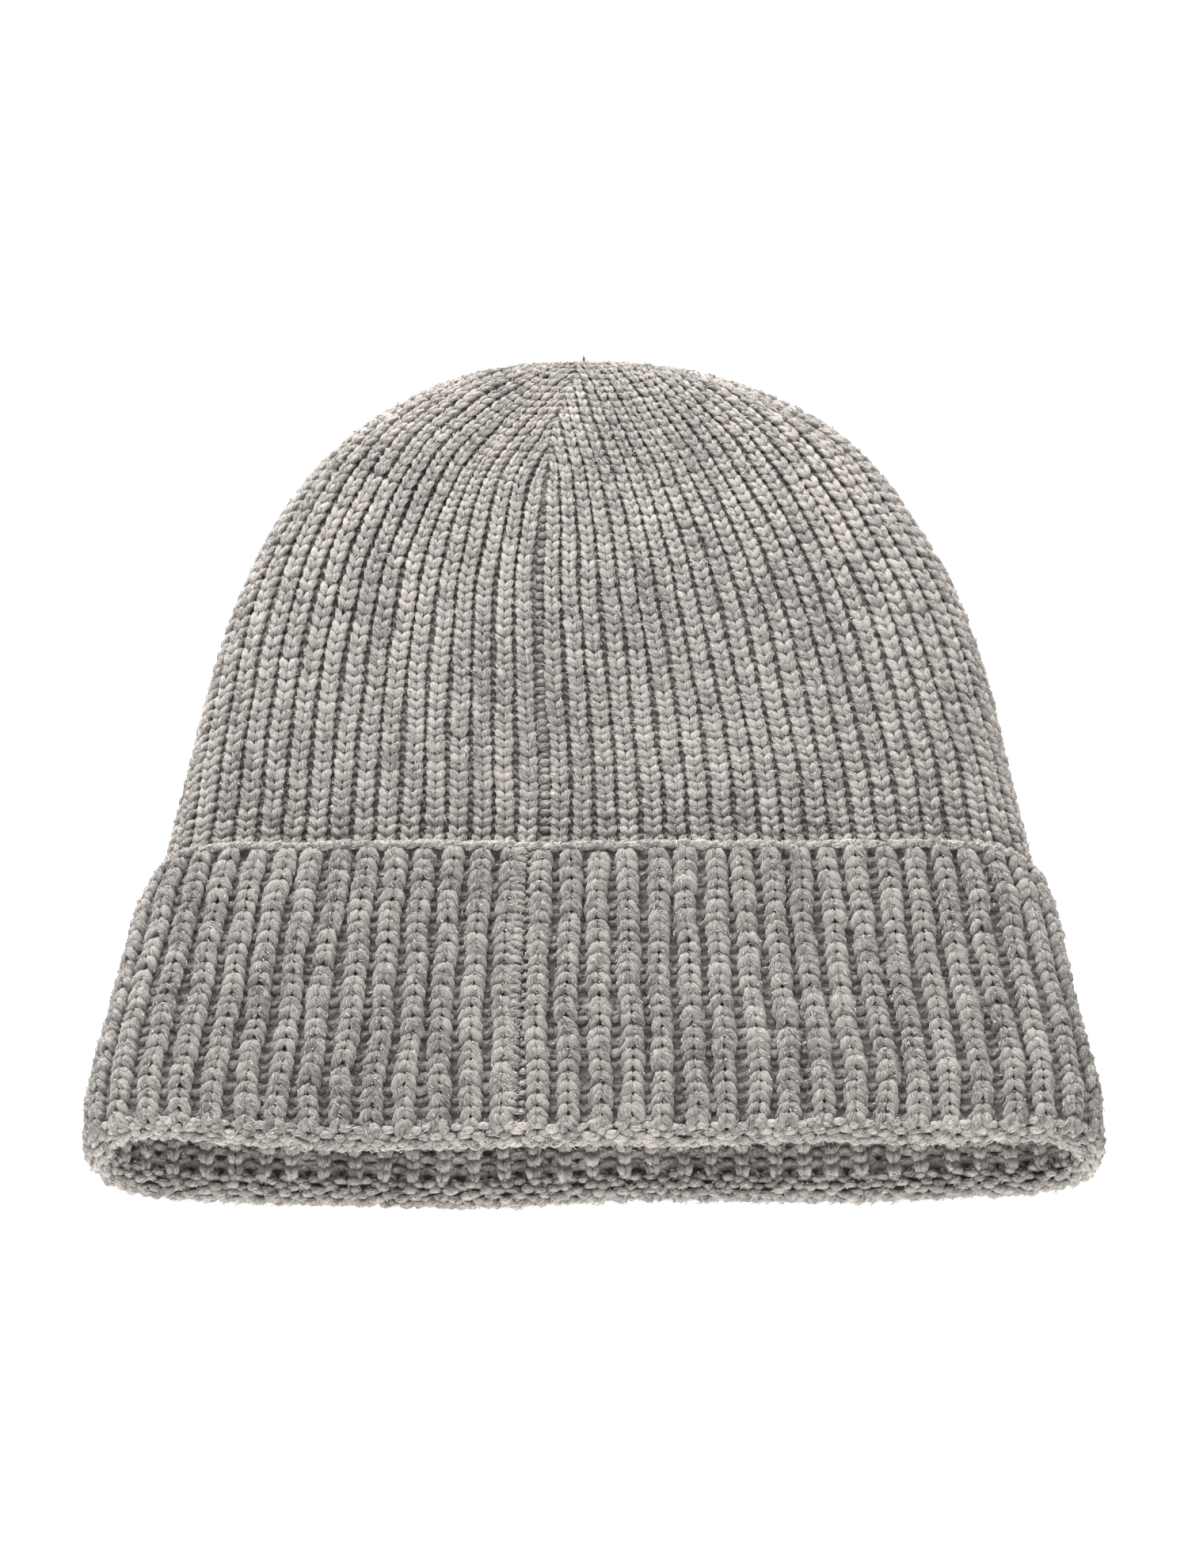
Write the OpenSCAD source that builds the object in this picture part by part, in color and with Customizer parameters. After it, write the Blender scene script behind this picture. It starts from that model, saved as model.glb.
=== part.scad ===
// Knit beanie with a turned-up cuff, lying flat on its front with the back seam on top.
// +Z is up, +X runs across the width and +Y runs from the head opening to the crown.
// The origin is at the middle of the footprint, on the surface that the hat lies on.

/* [Overall size] */
// Length from the turned edge of the head opening to the crown
hat_length = 224; // [205:1:235]
// Half of the flat width of the body at the head opening, inside the cuff
opening_half_width = 121; // [112:1:128]
// Loss of half width for each millimetre of length above the head opening
side_taper = 0.178; // [0.12:0.002:0.2]
// Length next to the head opening over which the sides run straight
straight_length = 18; // [10:1:30]
// How far the turned edge sets back at the left and right corners
corner_setback = 4; // [0:0.5:8]
// How far the top layer's edge sets back behind the lower layer's
top_setback = 3.5; // [0:0.5:6]
// Height of the body above the resting surface at the head opening
opening_loft = 33; // [30:0.5:38]
// Height of the body above the resting surface halfway to the crown
body_loft = 30; // [27:0.5:33]

/* [Fabric] */
// Thickness of the rib fabric in the body
body_thick = 3.6; // [2.5:0.1:4]
// Thickness of the rib fabric in the cuff
cuff_thick = 4; // [3:0.1:4.5]
// Diameter of the sewing and linking yarn
yarn_diameter = 1.6; // [1:0.1:2]

/* [Cuff] */
// Height of the turned-up cuff, from the turned edge to the free edge
cuff_height = 79; // [65:1:85]
// Length of the rounded fold at the head opening
fold_length = 6; // [4:0.5:8]
// Length of the rolled cast-on edge
cast_on_length = 3.5; // [2.5:0.5:5]

/* [Crown] */
// Length of the crown gores, measured along the hat
gore_length = 46; // [36:1:56]
// Length of hat over which the outline is rounded towards the crown
crown_round_length = 114; // [95:1:125]
// Height of the crown's centre above the resting surface
crown_height = 13; // [11:0.5:15]
// Distance of the body's middle from the middle of the opening, to the right
body_offset = 1.2; // [0:0.1:3]
// Distance of the crown's centre from the middle of the opening, to the left
crown_offset = 2.5; // [0:0.5:6]

/* [Back seam] */
// Distance of the seam from the middle of the body, to the left
seam_offset = 13; // [0:0.5:18]
// Distance of the seam from the middle of the cuff, to the left
cuff_seam_offset = 17; // [0:0.5:20]
// Spacing of the linking stitches along the seam
stitch_spacing = 3.1; // [2.5:0.1:6]
// Width of the turned-in seam edges inside the hat
allowance_width = 6; // [4:0.5:9]
// Thickness of the turned-in seam edges inside the hat
allowance_thick = 1.8; // [1:0.1:2.4]

/* [Hidden] */

// Shape of the outline and of the cross-section
section_power = 0.64;          // 1 is an ellipse, smaller is boxier
outline_powers = [3, 1 / 2.42];
loft_powers = [3, 1 / 2.2];
loft_round_length = 74;        // length over which the top falls to the crown
underside_round_length = 34;   // length over which the underside lifts to the crown
edge_height_share = 0.45;      // height of the widest point, as a share of the loft
flat_press = 3;                // how far the underside is pressed against the surface
step_length = 26;              // length over which the body settles down behind the cuff
setback_length = 60;           // length over which either setback dies out
shift_start = 45;              // station where the body starts to lie off the middle
lean_start = 150;              // station where the body starts to lean back to the left
lean_length = 60;
lean = 1.8;                    // how far it leans back
tip_length = 16;               // length of the crown's tip, which turns to the crown's centre

// Stations, measured along the hat from the head opening
cuff_top = cuff_height;
cuff_body_end = cuff_height - cast_on_length;
crown_start = hat_length - gore_length;
outline_start = hat_length - crown_round_length;
gather_share = 0.1;            // share of the full width left open for the gather
tip_gap = 0.01;                // keeps the gather's last ring from shrinking to a point

// Angles around the section: the right edge is 0, the back seam about 95, the left edge 180
quarter_steps = 15;
ring_steps = 4 * quarter_steps;
right_angle_step = 0;
seam_step = quarter_steps;
left_angle_step = 2 * quarter_steps;
front_step = 3 * quarter_steps;

body_grey = [0.66, 0.65, 0.64];
cuff_grey = [0.62, 0.61, 0.60];
yarn_grey = [0.74, 0.73, 0.72];
inner_grey = [0.55, 0.54, 0.53];

function mix(a, b, f) = a + (b - a) * f;
function clamp01(v) = min(1, max(0, v));
function smooth(v) = let (c = clamp01(v)) c * c * (3 - 2 * c);
function ease(v, powers) = pow(1 - pow(clamp01(v), powers[0]), powers[1]);

// Every offset below is measured inwards from the outer face of the body fabric.
// Towards the crown the inner faces are shorter than the outer one by the offset.
function inner_station(t, offset) =
    t < outline_start ? t
    : outline_start + (t - outline_start) * (1 - offset / crown_round_length);
function rounding(t, offset, length, powers) =
    ease((t - hat_length + length) / (length - offset), powers);

function half_width(t, offset) =
    (opening_half_width - side_taper * max(t, straight_length) - offset)
    * rounding(t, offset, crown_round_length, outline_powers);
function loft(t) = mix(opening_loft, body_loft, clamp01(t / cuff_height));
function top_height(t, offset) =
    crown_height + (loft(t) - crown_height - offset)
    * rounding(t, offset, loft_round_length, loft_powers);
function floor_height(t) = cuff_thick * (1 - smooth((t - cuff_top - 1) / step_length));
function bottom_height(t, offset) =
    let (low = floor_height(t) + offset)
    crown_height + (low - crown_height)
    * rounding(t, offset, underside_round_length, loft_powers);
function edge_height(t, offset) =
    mix(bottom_height(t, offset), top_height(t, offset), edge_height_share);
function underside_press(t, offset) =
    flat_press * rounding(t, offset, underside_round_length, loft_powers);

// The hat's middle line wanders, and ends at the crown's centre
function middle(t) =
    body_offset * smooth((t - shift_start) / shift_start)
    - lean * smooth((t - lean_start) / lean_length)
    - (crown_offset + body_offset - lean) * smooth((t - hat_length + tip_length) / tip_length);
function seam_x(t) =
    t < cuff_top ? -cuff_seam_offset
    : mix(-seam_offset, -crown_offset, smooth((t - crown_start) / gore_length));
function seam_angle(t) =
    90 + asin(pow(min(0.5, max(0, middle(t) - seam_x(t)) / half_width(t, 0)), 1 / section_power));

function signed_power(v) = sign(v) * pow(abs(v), section_power);

// One point of the section at station t, at an angle around it
function section_point(t, offset, angle) =
    let (
        s = inner_station(t, offset),
        side = signed_power(cos(angle)),
        rise = signed_power(sin(angle)),
        edge = edge_height(s, offset),
        top = top_height(s, offset),
        low = bottom_height(s, offset),
        setback = corner_setback * pow(abs(side), 3) * (1 - smooth(s / setback_length))
            + top_setback * smooth(rise) * (1 - smooth((s - cuff_height) / setback_length)))
    [
        middle(s) + half_width(s, offset) * side,
        s + setback - hat_length / 2,
        rise > 0 ? edge + (top - edge) * rise
        : max(low, edge + (edge - low + underside_press(s, offset)) * rise)
    ];

// Angle of a step around the ring; the seam keeps its own step
function step_angle(t, step) =
    let (turn = floor(step / ring_steps), k = step - turn * ring_steps)
    360 * turn + (
        k <= seam_step ? seam_angle(t) * k / seam_step
        : k <= left_angle_step
            ? mix(seam_angle(t), 180, (k - seam_step) / (left_angle_step - seam_step))
            : 180 + 180 * (k - left_angle_step) / (ring_steps - left_angle_step));

function ring_point(t, offset, step) = section_point(t, offset, step_angle(t, step));

// Station where the rounded outline has narrowed to a share of its full width
function narrowed_station(share) =
    hat_length - crown_round_length
    + crown_round_length * pow(1 - pow(share, 1 / outline_powers[1]), 1 / outline_powers[0]);

// A closed ring of fabric. profile lists [station, offset] pairs around its cross-section.
module fabric_ring(profile) {
    count = len(profile);
    points = [for (p = profile) for (k = [0 : ring_steps - 1]) ring_point(p[0], p[1], k)];
    function at(i, k) = (i % count) * ring_steps + (k % ring_steps);
    faces = [for (i = [0 : count - 1]) for (k = [0 : ring_steps - 1])
        each [[at(i, k), at(i + 1, k), at(i, k + 1)],
              [at(i + 1, k), at(i + 1, k + 1), at(i, k + 1)]]];
    polyhedron(points, faces, convexity = 8);
}

// Profile of a plain layer between two offsets, through the given stations
function layer(stations, outer, inner) = concat(
    [for (t = stations) [t, outer]],
    [for (i = [len(stations) - 1 : -1 : 0]) [stations[i], inner]]);

// Stations evenly spaced between two ends
function spaced(first, last, count) =
    [for (i = [0 : count]) mix(first, last, i / count)];

// A panel of fabric between two angles, given by a function of station and share across
module fabric_panel(stations, angles, outer, inner, across) {
    rows = len(stations);
    columns = across + 1;
    function corner(t, offset, j) =
        section_point(t, offset, mix(angles(t)[0], angles(t)[1], j / across));
    points = concat(
        [for (t = stations) for (j = [0 : across]) corner(t, outer, j)],
        [for (t = stations) for (j = [0 : across]) corner(t, inner, j)]);
    function at(side, i, j) = side * rows * columns + i * columns + j;
    skins = [for (i = [0 : rows - 2]) for (j = [0 : across - 1])
        each [[at(0, i, j), at(0, i + 1, j), at(0, i, j + 1)],
              [at(0, i + 1, j), at(0, i + 1, j + 1), at(0, i, j + 1)],
              [at(1, i, j), at(1, i, j + 1), at(1, i + 1, j)],
              [at(1, i + 1, j), at(1, i, j + 1), at(1, i + 1, j + 1)]]];
    ends = [for (j = [0 : across - 1])
        each [[at(0, 0, j), at(0, 0, j + 1), at(1, 0, j)],
              [at(1, 0, j), at(0, 0, j + 1), at(1, 0, j + 1)],
              [at(0, rows - 1, j), at(1, rows - 1, j), at(0, rows - 1, j + 1)],
              [at(1, rows - 1, j), at(1, rows - 1, j + 1), at(0, rows - 1, j + 1)]]];
    sides = [for (i = [0 : rows - 2])
        each [[at(0, i, 0), at(1, i, 0), at(0, i + 1, 0)],
              [at(1, i, 0), at(1, i + 1, 0), at(0, i + 1, 0)],
              [at(0, i, across), at(0, i + 1, across), at(1, i, across)],
              [at(1, i, across), at(0, i + 1, across), at(1, i + 1, across)]]];
    polyhedron(points, concat(skins, ends, sides), convexity = 8);
}

// Stations of the crown gores: even steps first, then closer ones as the outline turns in
gore_stations = concat(
    spaced(crown_start, narrowed_station(0.8), 3),
    [for (share = [0.68, 0.56, 0.44, 0.34, 0.26, 0.18, gather_share]) narrowed_station(share)]);
gather_stations = [for (share = [gather_share, 0.05, 0.02]) narrowed_station(share)];

// One crown gore between two steps of the ring
module crown_gore(first_step, shade) {
    color(body_grey * shade)
        fabric_panel(gore_stations,
            function(t) [step_angle(t, first_step), step_angle(t, first_step + quarter_steps)],
            0, body_thick, quarter_steps);
}

// Turned-in fabric edges inside the hat, centred on one step of the ring
module turned_in_edge(stations, step) {
    half_angle = function(t)
        asin(min(0.5, pow(allowance_width / 2 / half_width(t, 0), 1 / section_power)));
    edge_angle = 14;
    on_face = step == seam_step || step == front_step;
    spread = function(t) on_face ? half_angle(t) : edge_angle;
    color(inner_grey)
        fabric_panel(stations,
            function(t) [step_angle(t, step) - spread(t), step_angle(t, step) + spread(t)],
            body_thick, body_thick + allowance_thick, 2);
}

seam_margin = 3;          // fabric left free of stitches at the ends of the seam
seam_end_share = 0.8;     // where the stitches stop, as a share of the crown gores
body_stitch_length = 2.9;
cuff_stitch_length = 3.8;

// Linking stitches laid across the seam on an outer face
module ladder(stations, offset, stitch_length) {
    for (t = stations) {
        place = section_point(t, offset, seam_angle(t));
        translate(place)
            rotate([0, 90, 0])
                cylinder(h = stitch_length, d = yarn_diameter, center = true, $fn = 16);
    }
}

module cuff() {
    color(cuff_grey)
        fabric_ring(layer(spaced(fold_length, cuff_body_end, 7), -cuff_thick, 0));
}

// The free edge rolls outwards into a small bead
module cast_on_edge() {
    bead_steps = 6;
    color(yarn_grey)
        fabric_ring([for (i = [0 : bead_steps])
            let (a = 180 * i / bead_steps)
            [cuff_body_end + cast_on_length * sin(a), -cuff_thick / 2 * (1 + cos(a))]]);
}

// The fabric doubles back on itself at the head opening
module turned_edge() {
    bend_steps = 8;
    middle_offset = (body_thick - cuff_thick) / 2;
    reach = (body_thick + cuff_thick) / 2;
    color(cuff_grey * 0.94)
        fabric_ring([for (i = [0 : bend_steps])
            let (a = 180 * i / bend_steps)
            [fold_length * (1 - sin(a)), middle_offset + reach * cos(a)]]);
}

module inner_brim() {
    color(inner_grey)
        fabric_ring(layer(spaced(fold_length, cuff_body_end, 7), 0, body_thick));
}

module body_panel() {
    color(body_grey)
        fabric_ring(layer(
            concat([cuff_body_end], spaced(cuff_top + 2, crown_start, 8)), 0, body_thick));
}

module crown_gore_back_right() crown_gore(right_angle_step, 1.04);
module crown_gore_back_left() crown_gore(seam_step, 0.98);
module crown_gore_front_left() crown_gore(left_angle_step, 0.9);
module crown_gore_front_right() crown_gore(front_step, 0.86);

module crown_gather() {
    color(yarn_grey)
        fabric_ring(concat(
            [for (t = gather_stations) [t, 0]],
            [[hat_length - tip_gap, 0], [hat_length - tip_gap, body_thick]],
            [for (i = [len(gather_stations) - 1 : -1 : 0]) [gather_stations[i], body_thick]]));
}

module back_seam_yarn() {
    first = cuff_top + 2 * seam_margin;
    last = crown_start + gore_length * seam_end_share;
    count = floor((last - first) / stitch_spacing);
    color(yarn_grey) ladder(spaced(first, last, count), 0, body_stitch_length);
}

module cuff_seam_yarn() {
    first = fold_length + seam_margin;
    last = cuff_body_end - seam_margin;
    count = floor((last - first) / stitch_spacing);
    color(yarn_grey) ladder(spaced(first, last, count), -cuff_thick, cuff_stitch_length);
}

module seam_allowance() turned_in_edge(concat(
    spaced(fold_length + 2, crown_start, 12),
    [for (share = [0.86, 0.78, 0.66, 0.52]) narrowed_station(share)]), seam_step);

dart_stations = [for (share = [0.93, 0.86, 0.76, 0.64, 0.5, 0.36]) narrowed_station(share)];
module dart_seam_right() turned_in_edge(dart_stations, right_angle_step);
module dart_seam_left() turned_in_edge(dart_stations, left_angle_step);
module dart_seam_front() turned_in_edge(dart_stations, front_step);

// Short end of the linking yarn, standing on the crown's centre
module yarn_tail() {
    tail_length = 4.5;
    color(yarn_grey)
        translate([-crown_offset, hat_length / 2 - 1.6, crown_height])
            rotate([-12, 0, 0])
                cylinder(h = tail_length, d = 1, $fn = 12);
}

cuff();
cast_on_edge();
turned_edge();
inner_brim();
body_panel();
crown_gore_back_left();
crown_gore_back_right();
crown_gore_front_left();
crown_gore_front_right();
crown_gather();
back_seam_yarn();
cuff_seam_yarn();
seam_allowance();
dart_seam_left();
dart_seam_right();
dart_seam_front();
yarn_tail();
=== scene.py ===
"""Looks of the knit beanie: every stitch is a loop of yarn laid on a surface that follows the CAD model.

Lengths are in millimetres until a mesh is made. Along the hat, "t" runs from the turned edge of the head
opening to the crown. On a fabric surface, "s" runs along the fabric, "a" is the share of the way around
from the back seam, and "n" runs outwards from the middle of its thickness.
"""
import math

import bpy
import numpy as np
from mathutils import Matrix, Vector


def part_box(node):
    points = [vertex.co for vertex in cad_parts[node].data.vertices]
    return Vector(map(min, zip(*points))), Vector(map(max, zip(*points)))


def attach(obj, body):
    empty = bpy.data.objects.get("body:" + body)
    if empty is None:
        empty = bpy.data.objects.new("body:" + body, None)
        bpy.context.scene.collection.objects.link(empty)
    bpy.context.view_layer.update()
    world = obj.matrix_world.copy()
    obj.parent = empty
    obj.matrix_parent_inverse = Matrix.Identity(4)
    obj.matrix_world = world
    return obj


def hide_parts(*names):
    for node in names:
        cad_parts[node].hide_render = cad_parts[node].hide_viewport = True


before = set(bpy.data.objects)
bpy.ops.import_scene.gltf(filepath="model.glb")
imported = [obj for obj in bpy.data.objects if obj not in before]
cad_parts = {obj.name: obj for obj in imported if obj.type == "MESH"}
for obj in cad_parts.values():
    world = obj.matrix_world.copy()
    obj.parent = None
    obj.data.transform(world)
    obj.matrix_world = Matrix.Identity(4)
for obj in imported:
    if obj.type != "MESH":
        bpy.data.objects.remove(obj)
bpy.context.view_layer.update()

MM = 0.001


# ---- sizes, worked out from the frame

def box_mm(node):
    """Lowest and highest corner of a CAD node in millimetres."""
    low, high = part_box(node)
    return np.array(low) / MM, np.array(high) / MM


CUFF_LOW, CUFF_HIGH = box_mm("cuff")
BRIM_LOW, BRIM_HIGH = box_mm("inner_brim")
BODY_LOW, BODY_HIGH = box_mm("body_panel")
FOLD_LOW = box_mm("turned_edge")[0]
CAST_LOW, CAST_HIGH = box_mm("cast_on_edge")
TIP_LOW, TIP_HIGH = box_mm("crown_gather")
GORE_LOW = box_mm("crown_gore_back_right")[0]

MOUTH_Y = FOLD_LOW[1]
LENGTH = TIP_HIGH[1] - MOUTH_Y
CAST_ON_DEPTH = 3.5
CUFF_BODY_END = CAST_LOW[1] - MOUTH_Y
CUFF_TOP = CUFF_BODY_END + CAST_ON_DEPTH
# How far the top layer's edge sets back behind the lower layer's
TOP_SETBACK = CAST_HIGH[1] - MOUTH_Y - CUFF_TOP
FOLD_START = CUFF_LOW[1] - MOUTH_Y
CROWN_START = GORE_LOW[1] - MOUTH_Y
CUFF_THICK = (CUFF_HIGH[2] - CUFF_LOW[2] - BRIM_HIGH[2] + BRIM_LOW[2]) / 2
BODY_THICK = 3.6
CROWN_X = (TIP_LOW[0] + TIP_HIGH[0]) / 2

# Outline of the body's outer face, lying flat
STRAIGHT = 18.0
OPEN_HALF = (CUFF_HIGH[0] - CUFF_LOW[0]) / 2 - CUFF_THICK
NECK_HALF = (BODY_HIGH[0] - BODY_LOW[0]) / 2
TAPER = (OPEN_HALF - NECK_HALF) / (CUFF_BODY_END - STRAIGHT)
ROUND_LENGTH = LENGTH / 2 + 2
OUTLINE_POWERS = (3.0, 2.42)
# How far the body shifts to the right above the cuff, and leans to the left higher up
BODY_SHIFT, LEAN = 1.2, 1.8
# How far the corners of the mouth set back, and over what length
CORNER_SETBACK, SETBACK_LENGTH = 4.0, 60.0
OPEN_LOFT = BRIM_HIGH[2]
BODY_LOFT = BODY_HIGH[2]
CROWN_LOFT = BODY_LOFT - 1.5
# Height of the outline's edge as a share of the hat's, and how far in from it both faces round over
EDGE_SHARE = 0.45
TOP_ROUND, UNDER_ROUND = 27.0, 18.0
# Length over which the body comes down to the table past the cuff
STEP_LENGTH = 26.0
# Room for the yarn that stands proud of the fabric
YARN_INSET = 0.45
# How far the lower lip of the opening comes out under the upper one, and how much more on the left
LIP, LIP_SIDE, LIP_LENGTH = 1.3, 0.5, 28.0
# Where the crease in the crown starts (x, t), the direction straight across it, and the ridge beside it
CREASE_TOP, CREASE_SIDE = (-14.0, 210.0), (0.80, -0.60)
CREASE_DEPTH, CREASE_WIDTH = 2.8, 7.0
RIDGE_HEIGHT, RIDGE_AWAY = 1.3, 12.0
# How far the free edge of the cuff draws in at both sides, and over what length
CORNER_PINCH, PINCH_LENGTH = 1.4, 10.0
# How far the right shoulder of the crown is pushed out, where, and over what length
SHOULDER, SHOULDER_T, SHOULDER_LENGTH = 2.0, 198.0, 15.0

# Stitches: how many ribs go around, and the height of a course
BODY_RIBS = 76
BRIM_RIBS = 68
GORES = 4
BODY_COURSE = 2.42
BRIM_COURSE = 2.7
# Corners of a yarn's cross-section
TUBE_SIDES = 6
# Darts reach this far from the crown, set in over a few millimetres, and leave a gap beside them
DART_S = 44.0
DART_EASE = 8.0
DART_GAP = 1.35
# The part of a rib's width that its stitches fill, and the least that is still knitted
RIB_SHARE = 0.8
LEAST_RIB = 0.25
# Width of a rib that the loops below are drawn for
DRAWN_PITCH = 5.7
# The least height of yarn and of the fabric's core above the table
TABLE_GAP = 0.02
CORE_GAP = 0.3

rng = np.random.default_rng(7)


def smooth(v):
    c = np.clip(v, 0, 1)
    return c * c * (3 - 2 * c)


def mix(a, b, f):
    return a + (b - a) * f


def unit(vectors, least=1e-9):
    """The vectors brought to length 1. least keeps one without length from failing."""
    return vectors / (np.linalg.norm(vectors, axis=-1, keepdims=True) + least)


def distances(steps):
    """Distance along a line at each of its points, from the lengths of its steps."""
    return np.concatenate([[0], np.cumsum(steps)])


def circle(sides, first, second):
    """Corners of circles in the planes of two directions, and their angles."""
    angle = np.arange(sides) * 2 * math.pi / sides
    ring = np.cos(angle)[None, :, None] * first[:, None] + np.sin(angle)[None, :, None] * second[:, None]
    return ring, angle


# ---- the surfaces that the stitches lie on

def full_half_width(t, inset):
    """Half width before the outline is rounded towards the crown."""
    return OPEN_HALF + TAPER * STRAIGHT - TAPER * np.maximum(t, STRAIGHT) - inset


def middle_x(t):
    return (BODY_SHIFT * smooth((t - 45) / 45) - LEAN * smooth((t - 150) / 60)
            + (CROWN_X - BODY_SHIFT + LEAN) * smooth((t - LENGTH + 16) / 16))


def outline(inset, count=420):
    """Right half of the outline from the crown to the opening: x, t and distance along it."""
    turn = np.linspace(math.pi / 2, 0, count)
    share = np.cos(turn).clip(0) ** (2 / OUTLINE_POWERS[1])
    t = LENGTH - ROUND_LENGTH + (ROUND_LENGTH - inset) * np.sin(turn) ** (2 / OUTLINE_POWERS[0])
    x = full_half_width(t, inset) * share
    low_t = np.linspace(LENGTH - ROUND_LENGTH, -2, count // 2)[1:]
    t = np.concatenate([t, low_t])
    x = np.concatenate([x, full_half_width(low_t, inset)])
    return x, t, distances(np.hypot(np.diff(x), np.diff(t)))


def rounded(distance, reach):
    """Rise of the surface, 0 to 1, over a distance in from the outline."""
    v = 1 - np.clip(distance / reach, 0, 1)
    return (1 - v ** 2.2) ** (1 / 2.2)


def top_height(t, inset):
    loft = mix(OPEN_LOFT, BODY_LOFT, np.clip(t / CUFF_TOP, 0, 1))
    return mix(loft, CROWN_LOFT, smooth((t - 130) / 80)) - inset


def floor_height(t, inset):
    return CUFF_THICK * (1 - smooth((t - CUFF_TOP - 1) / STEP_LENGTH)) + inset


def body_seam_x(t):
    """Where the back seam runs across the top of the body."""
    return np.interp(t, [95, 125, 150, 180, 200, 212, LENGTH],
                     [-12.2, -13.4, -14.0, -12.6, -9.5, -5.8, CROWN_X])


def cuff_seam_x(t):
    return np.interp(t, [0, 40, 80], [-18.0, -17.3, -16.0])


def settle(grid):
    """How hands left the fabric lying: set-back corners, a wavy opening, low waves and a crease on top."""
    grid = grid.copy()
    x, t, z = grid[..., 0].copy(), grid[..., 1].copy(), grid[..., 2]
    near_mouth = 1 - smooth(t / SETBACK_LENGTH)
    sway = 0.7 * np.sin(x / 29 + 0.6) + 0.4 * np.sin(x / 12.5 + z / 9)
    grid[..., 1] += near_mouth * (CORNER_SETBACK * np.abs(x / OPEN_HALF) ** 3 + sway)
    low, high = z.min(axis=1, keepdims=True), z.max(axis=1, keepdims=True)
    edge = mix(low, high, EDGE_SHARE)
    above_edge = smooth((z - edge) / (high - edge))
    grid[..., 1] += TOP_SETBACK * above_edge * (1 - smooth((t - CUFF_TOP) / SETBACK_LENGTH))
    under = 1 - smooth(1.5 * (z - low) / (high - low))
    grid[..., 1] -= (LIP - LIP_SIDE * x / OPEN_HALF) * under * (1 - smooth(t / LIP_LENGTH))
    grid[..., 0] += SHOULDER * np.exp(-((t - SHOULDER_T) / SHOULDER_LENGTH) ** 2) * smooth(x / 60)
    over = smooth((z - 12) / 12)
    wave = (0.55 * np.sin(x / 17 + 1.3) * np.sin(t / 23 + 0.4)
            + 0.45 * np.sin(x / 9.5 - t / 31 + 2.0) + 0.35 * np.sin(t / 12 + x / 40))
    grid[..., 2] += over * wave * smooth((LENGTH - t) / 40)
    # a soft crease from beside the crown's middle down to the left, with a low ridge beside it
    beside = (x - CREASE_TOP[0]) * CREASE_SIDE[0] + (t - CREASE_TOP[1]) * CREASE_SIDE[1]
    down = (x - CREASE_TOP[0]) * CREASE_SIDE[1] - (t - CREASE_TOP[1]) * CREASE_SIDE[0]
    profile = (RIDGE_HEIGHT * np.exp(-((beside - RIDGE_AWAY) / CREASE_WIDTH) ** 2)
               - CREASE_DEPTH * np.exp(-(beside / CREASE_WIDTH) ** 2))
    grid[..., 2] += over * profile * smooth(down / 14 + 0.5) * (1 - smooth((down - 32) / 34))
    return grid


# Points in each ring of a surface, and in each quarter of the ring that it is measured from
AROUND = 320
QUARTER = 72


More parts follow.
